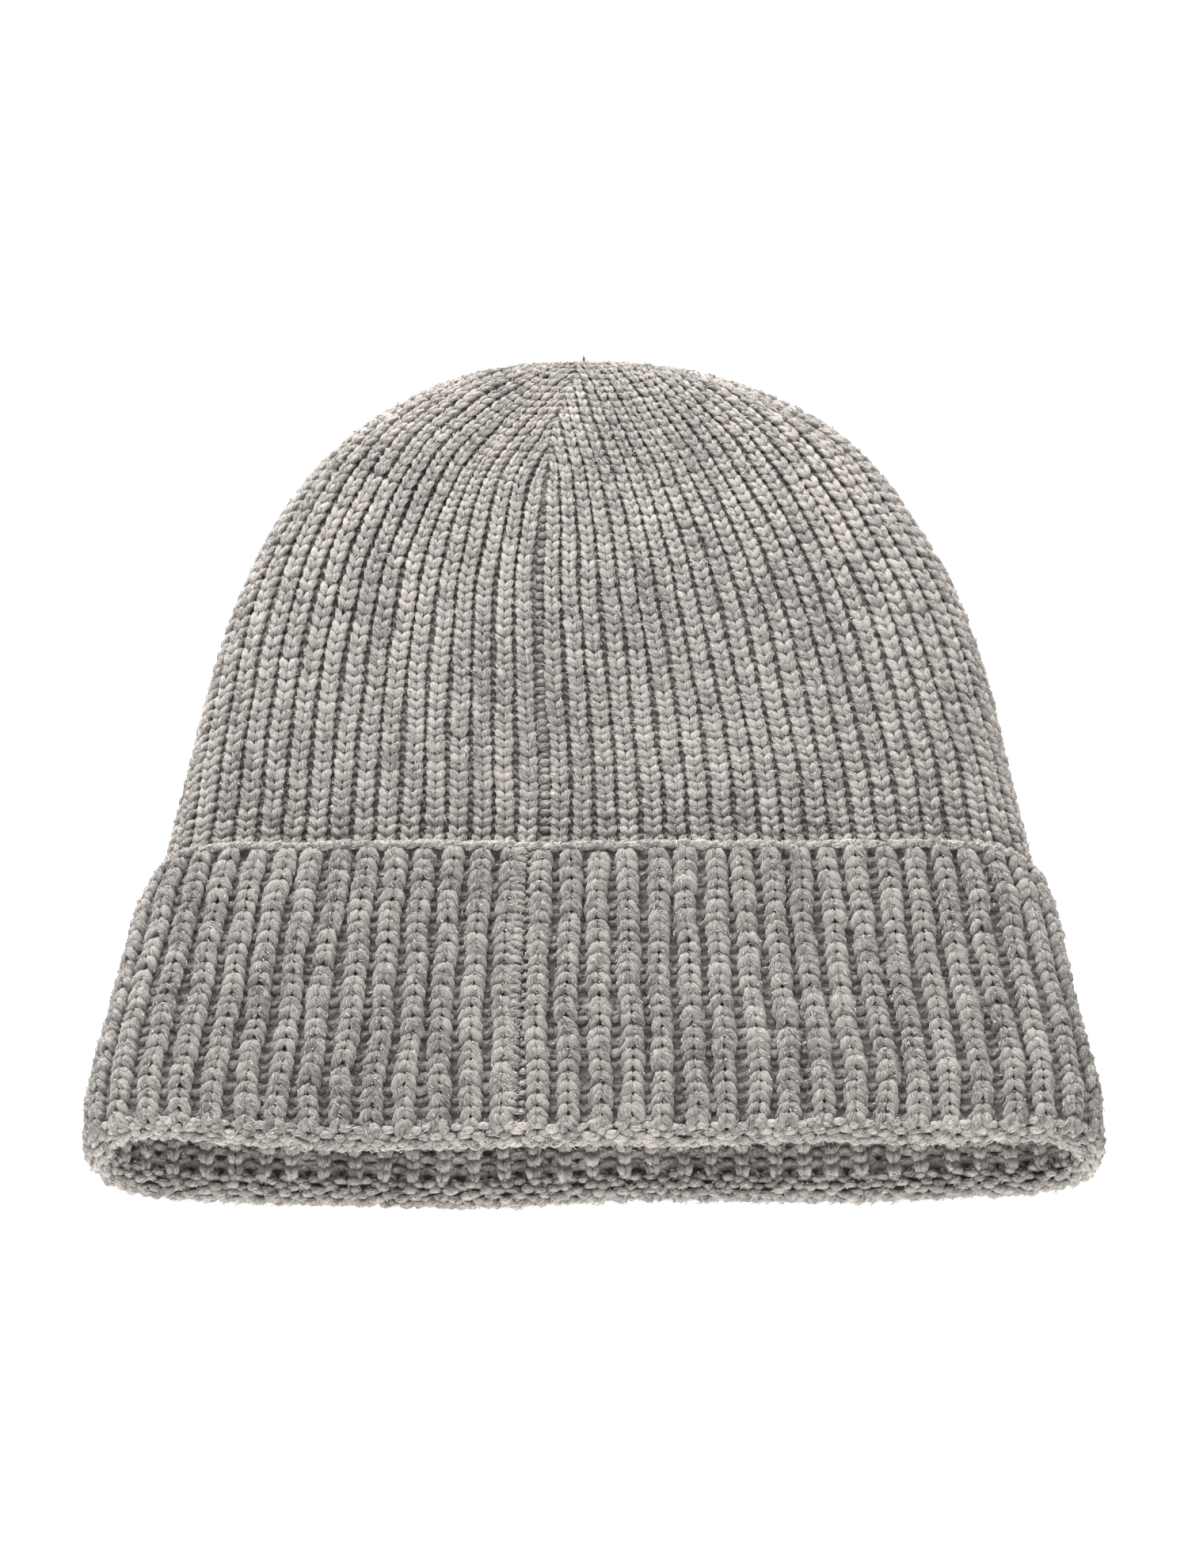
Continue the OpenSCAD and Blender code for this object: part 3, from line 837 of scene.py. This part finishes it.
# Each course of a gore ends thin and deep, under the dart
END_RADIUS, END_LEVEL = 0.6, -0.5
for gore, gore_name in enumerate(GORE_NAMES):
    tubes = Tubes()
    for s in all_courses[all_courses <= s_crown]:
        made = course_points(body_ribs, s, BODY_COURSE, -1, shown_loop, back_crown, gore=gore)
        if made is None:
            continue
        line, normal, radius, level = made
        ends, end_normal = body.at(np.array([s + 0.3, s + 0.3]), np.array([gore, gore + 1]) / GORES)
        ends = ends + end_normal * END_LEVEL
        line = np.concatenate([ends[:1], line, ends[1:]])
        normal = np.concatenate([end_normal[:1], normal, end_normal[1:]])
        tubes.add(line, normal, np.concatenate([[END_RADIUS], radius, [END_RADIUS]]),
                  np.concatenate([[END_LEVEL], level, [END_LEVEL]]), closed=False)
        if gore > 0 and s < DART_S - 4:
            # a narrow column of stitches covers the dart
            u, v, n, r = shown_loop.T
            where = s - v * BODY_COURSE
            share = gore / GORES + u * DART_SCALE / body.girth_at(where)
            line, normal = body.at(where, share)
            tubes.add(line + normal * (n - 0.25)[:, None], normal, r * DART_THICK, n, closed=False)
    tubes.piece(f"crown_{gore_name}_knit", CROWN_YARN)

# Crown gather: yarn wound up the last few millimetres
GATHER_TURNS = 4.3
GATHER_LEVEL = 0.8
wound = np.linspace(0, 1, 120)
gather = Tubes()
line, normal = body.at(mix(5.2, 0.8, wound), wound * GATHER_TURNS)
lift = 0.1 + 0.45 * np.sin(wound * GATHER_TURNS * 2 * math.pi * 5)
gather.add(line + normal * lift[:, None], normal, mix(0.95, 0.8, wound), GATHER_LEVEL, closed=False)
# two short stitches close the middle
knot = body.grid[0].mean(0)
across = np.linspace(-1, 1, 7)[:, None]
for reach in ((1.7, 0, 0.6), (-0.7, 0, 1.7)):
    stitch = knot + np.array(reach) * across - np.array([0, 0.7, 0]) * across ** 2
    gather.add(stitch, np.tile([0.0, 1.0, 0.0], (7, 1)), np.full(7, 1.25), GATHER_LEVEL, closed=False)
gather.piece("crown_gather_yarn", CROWN_YARN)

# Cuff, fold and the brim inside
CAST_ROOM = 3.0
cuff_courses = courses(CAST_ROOM, fold_first + 0.4, BRIM_COURSE)
knit_bands("cuff_knit", 3, cuff_ribs, cuff_courses, BRIM_COURSE, 1, shown_cuff, back_cuff, CUFF_YARN)
brim_courses = courses(fold_last + 0.2, turned.s[-1] - 4, BRIM_COURSE)
knit_bands("brim_knit", 3, cuff_ribs, brim_courses, BRIM_COURSE, 1, shown_inside, back_inside, INNER_YARN)

# The fold shows the bumps between stitches, in rows that are set half a bump apart
BUMP = [(-0.50, 0.0, 0.30, 0.66), (-0.25, 0.10, 0.95, 0.94),
        (0.0, 0.14, 1.20, 1.06), (0.25, 0.10, 0.95, 0.94)]
BUMP_ROW = 1.92
BUMPS = 158


def bump_row(s, shift):
    """A row of bumps around the fold, moved on by a share of a bump: points, normals, radii, level."""
    template = np.array(BUMP)
    index = np.arange(BUMPS)[:, None]
    jitter = rng.normal(0, 1, (BUMPS, 3))
    pitch = turned.girth_at(s) / BUMPS
    side = np.where(index % 2 == 0, 1.0, -1.0)
    share = (index + 0.5 + shift + template[:, 0] + 0.10 * jitter[:, :1]) / BUMPS
    where = s + side * template[:, 1] * BUMP_ROW + 0.20 * jitter[:, 1:2]
    line, normal = turned.at(where, share)
    n = template[:, 2] + 0.13 * jitter[:, 2:3]
    radius = template[:, 3] * (1 + 0.10 * jitter[:, 2:3]) * min(1, pitch / 3.0)
    return ((line + normal * n[..., None]).reshape(-1, 3), normal.reshape(-1, 3), radius.reshape(-1),
            n.reshape(-1))


# Rows are set evenly along the outside of the fold
fine = np.linspace(fold_first + 2.2, fold_last - 0.2, 200)
edge_line, edge_normal = turned.at(fine, np.full(200, 0.13))
edge_line = edge_line + 1.3 * edge_normal
edge_run = distances(np.linalg.norm(np.diff(edge_line, axis=0), axis=1))
fold = Tubes()
for number, run in enumerate(courses(0, edge_run[-1], BUMP_ROW)):
    fold.add(*bump_row(np.interp(run, edge_run, fine), 0.5 * (number % 2)))
fold.piece("fold_knit", FOLD_YARN)

# Cast-on edge: two strands laid around each other
cast_on = Tubes()
ROPE_TURNS = 66
ROPE_STEPS = 24 * ROPE_TURNS
a = np.arange(ROPE_STEPS) / ROPE_STEPS
for strand in range(2):
    turn = 2 * math.pi * (a * ROPE_TURNS + strand / 2)
    fat = 1 + 0.09 * np.sin(a * 2 * math.pi * 37) + 0.08 * np.sin(a * 2 * math.pi * 91)
    line, normal = turned.at(1.4 + 0.32 * np.cos(turn) + 0.15 * np.sin(a * 2 * math.pi * 23), a)
    line = line + normal * (0.35 + 0.32 * np.sin(turn))[:, None]
    cast_on.add(line, normal, 1.0 * fat, 0.9)
cast_on.piece("cast_on_rope", EDGE_YARN)


# ---- seams

def bar(tubes, surface, s, beside, length, radius, n_middle, arch=0.25, dip=0.9, share=0.0, tilt=0.0):
    """A stitch that lies across a seam, with both ends going down into the fabric."""
    x = np.linspace(-1, 1, 7)
    jitter = rng.normal(0, 1, 4)
    half = length / 2 * (1 + 0.08 * jitter[0])
    where = s + arch * (1 - x * x) + 0.12 * jitter[1] + tilt * x
    line, normal = surface.at(where, share + (beside + x * half) / surface.girth_at(s))
    n = n_middle + 0.12 * jitter[2] - dip * np.abs(x) ** 3
    thick = radius * (1 + 0.08 * jitter[3]) * (1 - 0.3 * np.abs(x) ** 3)
    tubes.add(line + normal * n[:, None], normal, thick, np.abs(n), closed=False)


# Spacing of the stitches on the back seam, on both sides of the cuff's seam, and in turned-in edges
SEAM_STEP, LADDER_STEP, BESIDE_STEP, ROW_STEP = 2.35, 1.9, 2.5, 1.9
seam = Tubes()
for s in courses(body_s(CUFF_TOP - 1), 7.0, SEAM_STEP):
    low = smooth((s - s_crown - 40) / 60)
    high = smooth((DART_S + 6 - s) / 20)
    bar(seam, body, s, 0.45 * (1 - high), mix(2.3, 2.9, low) + 0.4 * high, mix(0.95, 1.1, low) + 0.1 * high,
        mix(-0.3, 0.1, low) + 0.3 * high, tilt=-0.25)
seam.piece("back_seam_stitches", SEAM_YARN)

cuff_seam = Tubes()
for s in courses(3.4, fold_first - 1, LADDER_STEP):
    bar(cuff_seam, turned, s, beside=-2.0, length=3.6, radius=0.98, n_middle=1.25, arch=-0.3)
for s in courses(3.6, fold_first - 1, BESIDE_STEP):
    bar(cuff_seam, turned, s, beside=0.95, length=1.5, radius=0.62, n_middle=0.95, arch=0.1)
cuff_seam.piece("cuff_seam_stitches", SEAM_YARN)

# Turned-in edges inside the hat, as rows of flattened stitches
INSIDE_N = -BODY_THICK / 2 - 0.7


def turned_in_rows(name, stretches, share):
    tubes = Tubes()
    for surface, first, last, n in stretches:
        for s in courses(first, last, ROW_STEP):
            bar(tubes, surface, s, 0.0, length=6.0, radius=0.95, n_middle=n, arch=0.3, dip=0.5, share=share)
    tubes.piece(name, INNER_YARN)


turned_in_rows("seam_allowance_rows", [
    (body, body_s(CUFF_TOP - 4), 24.0, INSIDE_N),
    (turned, fold_last + 2, turned.s[-1] - 6, -INSIDE_N)], 0.0)
DART_NAMES = ["right", "front", "left"]
for gore, name in enumerate(DART_NAMES, 1):
    turned_in_rows(f"dart_{name}_rows", [(body, DART_S, 18.0, INSIDE_N)], gore / GORES)

# Yarn end at the crown
tail = Tubes()
tip = body.at(np.array([2.0]), np.array([0.1]))[0]
for lean_x, lean_y, size in ((-0.9, 0.3, 1.0), (-0.2, -0.5, 0.8)):
    w = np.linspace(0, 1, 9)[:, None]
    line = tip + np.array([lean_x * 1.5, 0.6 + lean_y, 3.6 * size]) * w + np.array([0.8, 0.2, -0.5]) * w * w
    normal = np.tile([1.0, 0, 0], (9, 1))
    tail.add(line, normal, np.linspace(0.42, 0.22, 9), 1.5, closed=False)
tail.piece("yarn_tail_end", SEAM_YARN)


# ---- fuzz

FIBRES, INNER_FIBRES = 19000, 12000
FIBRE_SIDES = 3
# Levels of the fabric that fibres grow from, lowest and highest
ANYWHERE, RAISED, SUNKEN = (-0.6, 9.0), (0.7, 9.0), (-1.0, 0.5)


def fuzz(name, skins, count, material, lying, levels):
    """Fibres on the yarn: thicker clumps that lie along its twist, or thin ones that stand off it."""
    points, out, along, level = (np.concatenate([SKINS[skin][part] for skin in skins]) for part in range(4))
    chosen = rng.choice(np.nonzero((level > levels[0]) & (level < levels[1]))[0], count)
    start, out, along = points[chosen], out[chosen], along[chosen]
    if lying:
        twist = rng.normal(0.6, 0.45, (count, 1))
        bearing = along * np.cos(twist) + np.cross(out, along) * np.sin(twist) + 0.32 * out
        length = rng.uniform(0.9, 2.0, (count, 1))
        radius, bend, stray = 0.115, -0.75, 0.25
    else:
        bearing = out * rng.gamma(2.0, 0.28, (count, 1)) + rng.normal(0, 0.6, (count, 3))
        length = rng.gamma(4.0, 0.3, (count, 1)) + 0.4
        radius, bend, stray = 0.036, 0.1, 0.45
    bearing = unit(bearing, 0)
    later = unit(bearing + out * bend + rng.normal(0, stray, (count, 3)), 0)
    root = start - out * 0.08
    knee = root + bearing * length * 0.5
    tip = knee + later * length * 0.5
    across = unit(np.cross(bearing, rng.normal(0, 1, (count, 3))))
    ring = circle(FIBRE_SIDES, across, np.cross(bearing, across))[0]
    ring = radius * (rng.uniform(0.6, 1.3, (count, 1, 1)) * ring)
    cloud = np.concatenate([root[:, None] + 0.7 * ring, knee[:, None] + ring, tip[:, None]], 1)
    corners = cloud.shape[1]
    cloud = cloud.reshape(-1, 3)
    cloud[:, 2] = np.maximum(cloud[:, 2], TABLE_GAP)
    # a cap at the root, a tube up to the knee, and a point
    faces = [(0, 2, 1)]
    for i in range(FIBRE_SIDES):
        j = (i + 1) % FIBRE_SIDES
        knee_i, knee_j = i + FIBRE_SIDES, j + FIBRE_SIDES
        faces += [(i, j, knee_j), (i, knee_j, knee_i), (knee_i, knee_j, 2 * FIBRE_SIDES)]
    triangles = (np.array(faces)[None] + (np.arange(count) * corners)[:, None, None]).reshape(-1, 3)
    make_piece(name, cloud, triangles, None, material)


def fibre_material(name, low, high):
    material, nodes, links, shader = new_material(name, {"Roughness": 0.8, "Specular IOR Level": 0.2})
    place = nodes.new("ShaderNodeTexCoord")
    texture = nodes.new("ShaderNodeTexNoise")
    texture.inputs["Scale"].default_value = 900.0
    ramp = grey_ramp(nodes, (0.35, low), (0.65, high))
    links.new(place.outputs["Object"], texture.inputs["Vector"])
    links.new(texture.outputs["Fac"], ramp.inputs["Fac"])
    links.new(ramp.outputs["Color"], shader.inputs["Base Color"])
    return material


LOOSE_FIBRE = fibre_material("loose_fibre", 0.10, 0.66)
# painted shade: fibres sunk between the ribs are coloured far darker than the loose ones, for the shade
# they lie in
PAINTED_SHADE_FIBRE = fibre_material("painted_shade_fibre", 0.03, 0.24)
# Kinds of fuzz: material, whether it lies along the yarn, and where it grows
BRUSHED, STANDING, SUNK = (
    (LOOSE_FIBRE, True, RAISED), (LOOSE_FIBRE, False, ANYWHERE), (PAINTED_SHADE_FIBRE, True, SUNKEN))
body_skins = named("body_knit", "crown_", "back_seam", "yarn_tail")
cuff_skins, inner_skins = named("cuff_", "fold", "cast_on"), named("brim_")
for number in (1, 2):
    fuzz(f"body_fuzz_{number}", body_skins, FIBRES, *BRUSHED)
    fuzz(f"body_fuzz_{number + 2}", body_skins, FIBRES, *STANDING)
    fuzz(f"cuff_fuzz_{number}", cuff_skins, FIBRES, *BRUSHED)
fuzz("cuff_fuzz_3", cuff_skins, FIBRES, *STANDING)
fuzz("cuff_fuzz_4", cuff_skins, FIBRES, *SUNK)
fuzz("brim_fuzz_1", inner_skins, INNER_FIBRES, *SUNK)
fuzz("brim_fuzz_2", inner_skins, INNER_FIBRES, *BRUSHED)


# ---- floor, light and camera

# Name, place and size in metres, and power in watts. Each one faces the hat.
SOFTBOXES = [
    ("back_softbox", (-0.4, 2.0, 0.9), (1.4, 0.8), 120),
    ("front_softbox", (0.1, -1.9, 0.55), (1.6, 0.6), 42),
    ("left_softbox", (-1.6, 0.1, 1.1), (0.9, 1.2), 9),
    ("right_softbox", (1.6, 0.2, 1.1), (0.9, 1.2), 9)]


def put(name, data, place, facing):
    """Adds a light or a camera at a place, turned the way it faces."""
    thing = bpy.data.objects.new(name, data)
    thing.location = place
    thing.rotation_euler = facing.to_track_quat("-Z", "Y").to_euler()
    bpy.context.scene.collection.objects.link(thing)
    return thing


def studio():
    """A pale floor under an even white sky, and four softboxes."""
    scene = bpy.context.scene
    mesh = bpy.data.meshes.new("floor")
    reach = 3.0
    mesh.from_pydata([(-reach, -reach, 0), (reach, -reach, 0), (reach, reach, 0), (-reach, reach, 0)],
                     [], [(0, 1, 2, 3)])
    floor = bpy.data.objects.new("floor", mesh)
    scene.collection.objects.link(floor)
    mesh.materials.append(new_material("floor_paint", {
        "Base Color": (0.95, 0.95, 0.95, 1), "Roughness": 0.9,
        "Emission Color": (1, 1, 1, 1), "Emission Strength": 0.3})[0])

    world = bpy.data.worlds.new("studio")
    world.use_nodes = True
    set_inputs(world.node_tree.nodes["Background"], {"Color": (1, 1, 1, 1), "Strength": 0.78})
    scene.world = world

    for name, place, size, power in SOFTBOXES:
        light = bpy.data.lights.new(name, "AREA")
        light.shape = "RECTANGLE"
        light.size, light.size_y = size
        light.energy = power
        put(name, light, place, -Vector(place))


def camera():
    """Above the brim side, looking down at the flat hat."""
    elevation = math.radians(66)
    distance = 1.15
    aim_t = 103.5
    aim = Vector((0, (MOUTH_Y + aim_t) * MM, CUFF_HIGH[2] / 2 * MM))
    lens = bpy.data.cameras.new("camera")
    lens.sensor_fit = "VERTICAL"
    lens.sensor_height = 36
    lens.lens = 107.5
    lens.clip_start = 0.05
    direction = Vector((0, -math.cos(elevation), math.sin(elevation)))
    bpy.context.scene.camera = put("camera", lens, aim + direction * distance, -direction)
    bpy.context.scene.view_settings.view_transform = "Standard"


studio()
camera()

# ---- what each piece is

CORE_START = 3.0
s_neck = body_s(CUFF_TOP - 8)
body_core, body_area = fabric_core("body_core", body, (CORE_START, s_neck), (-0.5, 0.0))
cuff_core, cuff_area = fabric_core("cuff_core", turned, (1.0, turned.s[-1] - 1), (-0.35, 0.15), along=130)

STANDS_FOR = {
    "body_knit_1": ["body_panel"], "crown_gather_yarn": ["crown_gather"], "cuff_knit_1": ["cuff"],
    "brim_knit_1": ["inner_brim"], "fold_knit": ["turned_edge"], "cast_on_rope": ["cast_on_edge"],
    "back_seam_stitches": ["back_seam_yarn"], "cuff_seam_stitches": ["cuff_seam_yarn"],
    "seam_allowance_rows": ["seam_allowance"], "yarn_tail_end": ["yarn_tail"]}
STANDS_FOR.update({f"crown_{name}_knit": [f"crown_gore_{name}"] for name in GORE_NAMES})
STANDS_FOR.update({f"dart_{name}_rows": [f"dart_seam_{name}"] for name in DART_NAMES})
for name, piece in pieces.items():
    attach(piece, "root")
    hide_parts(*STANDS_FOR.get(name, []))
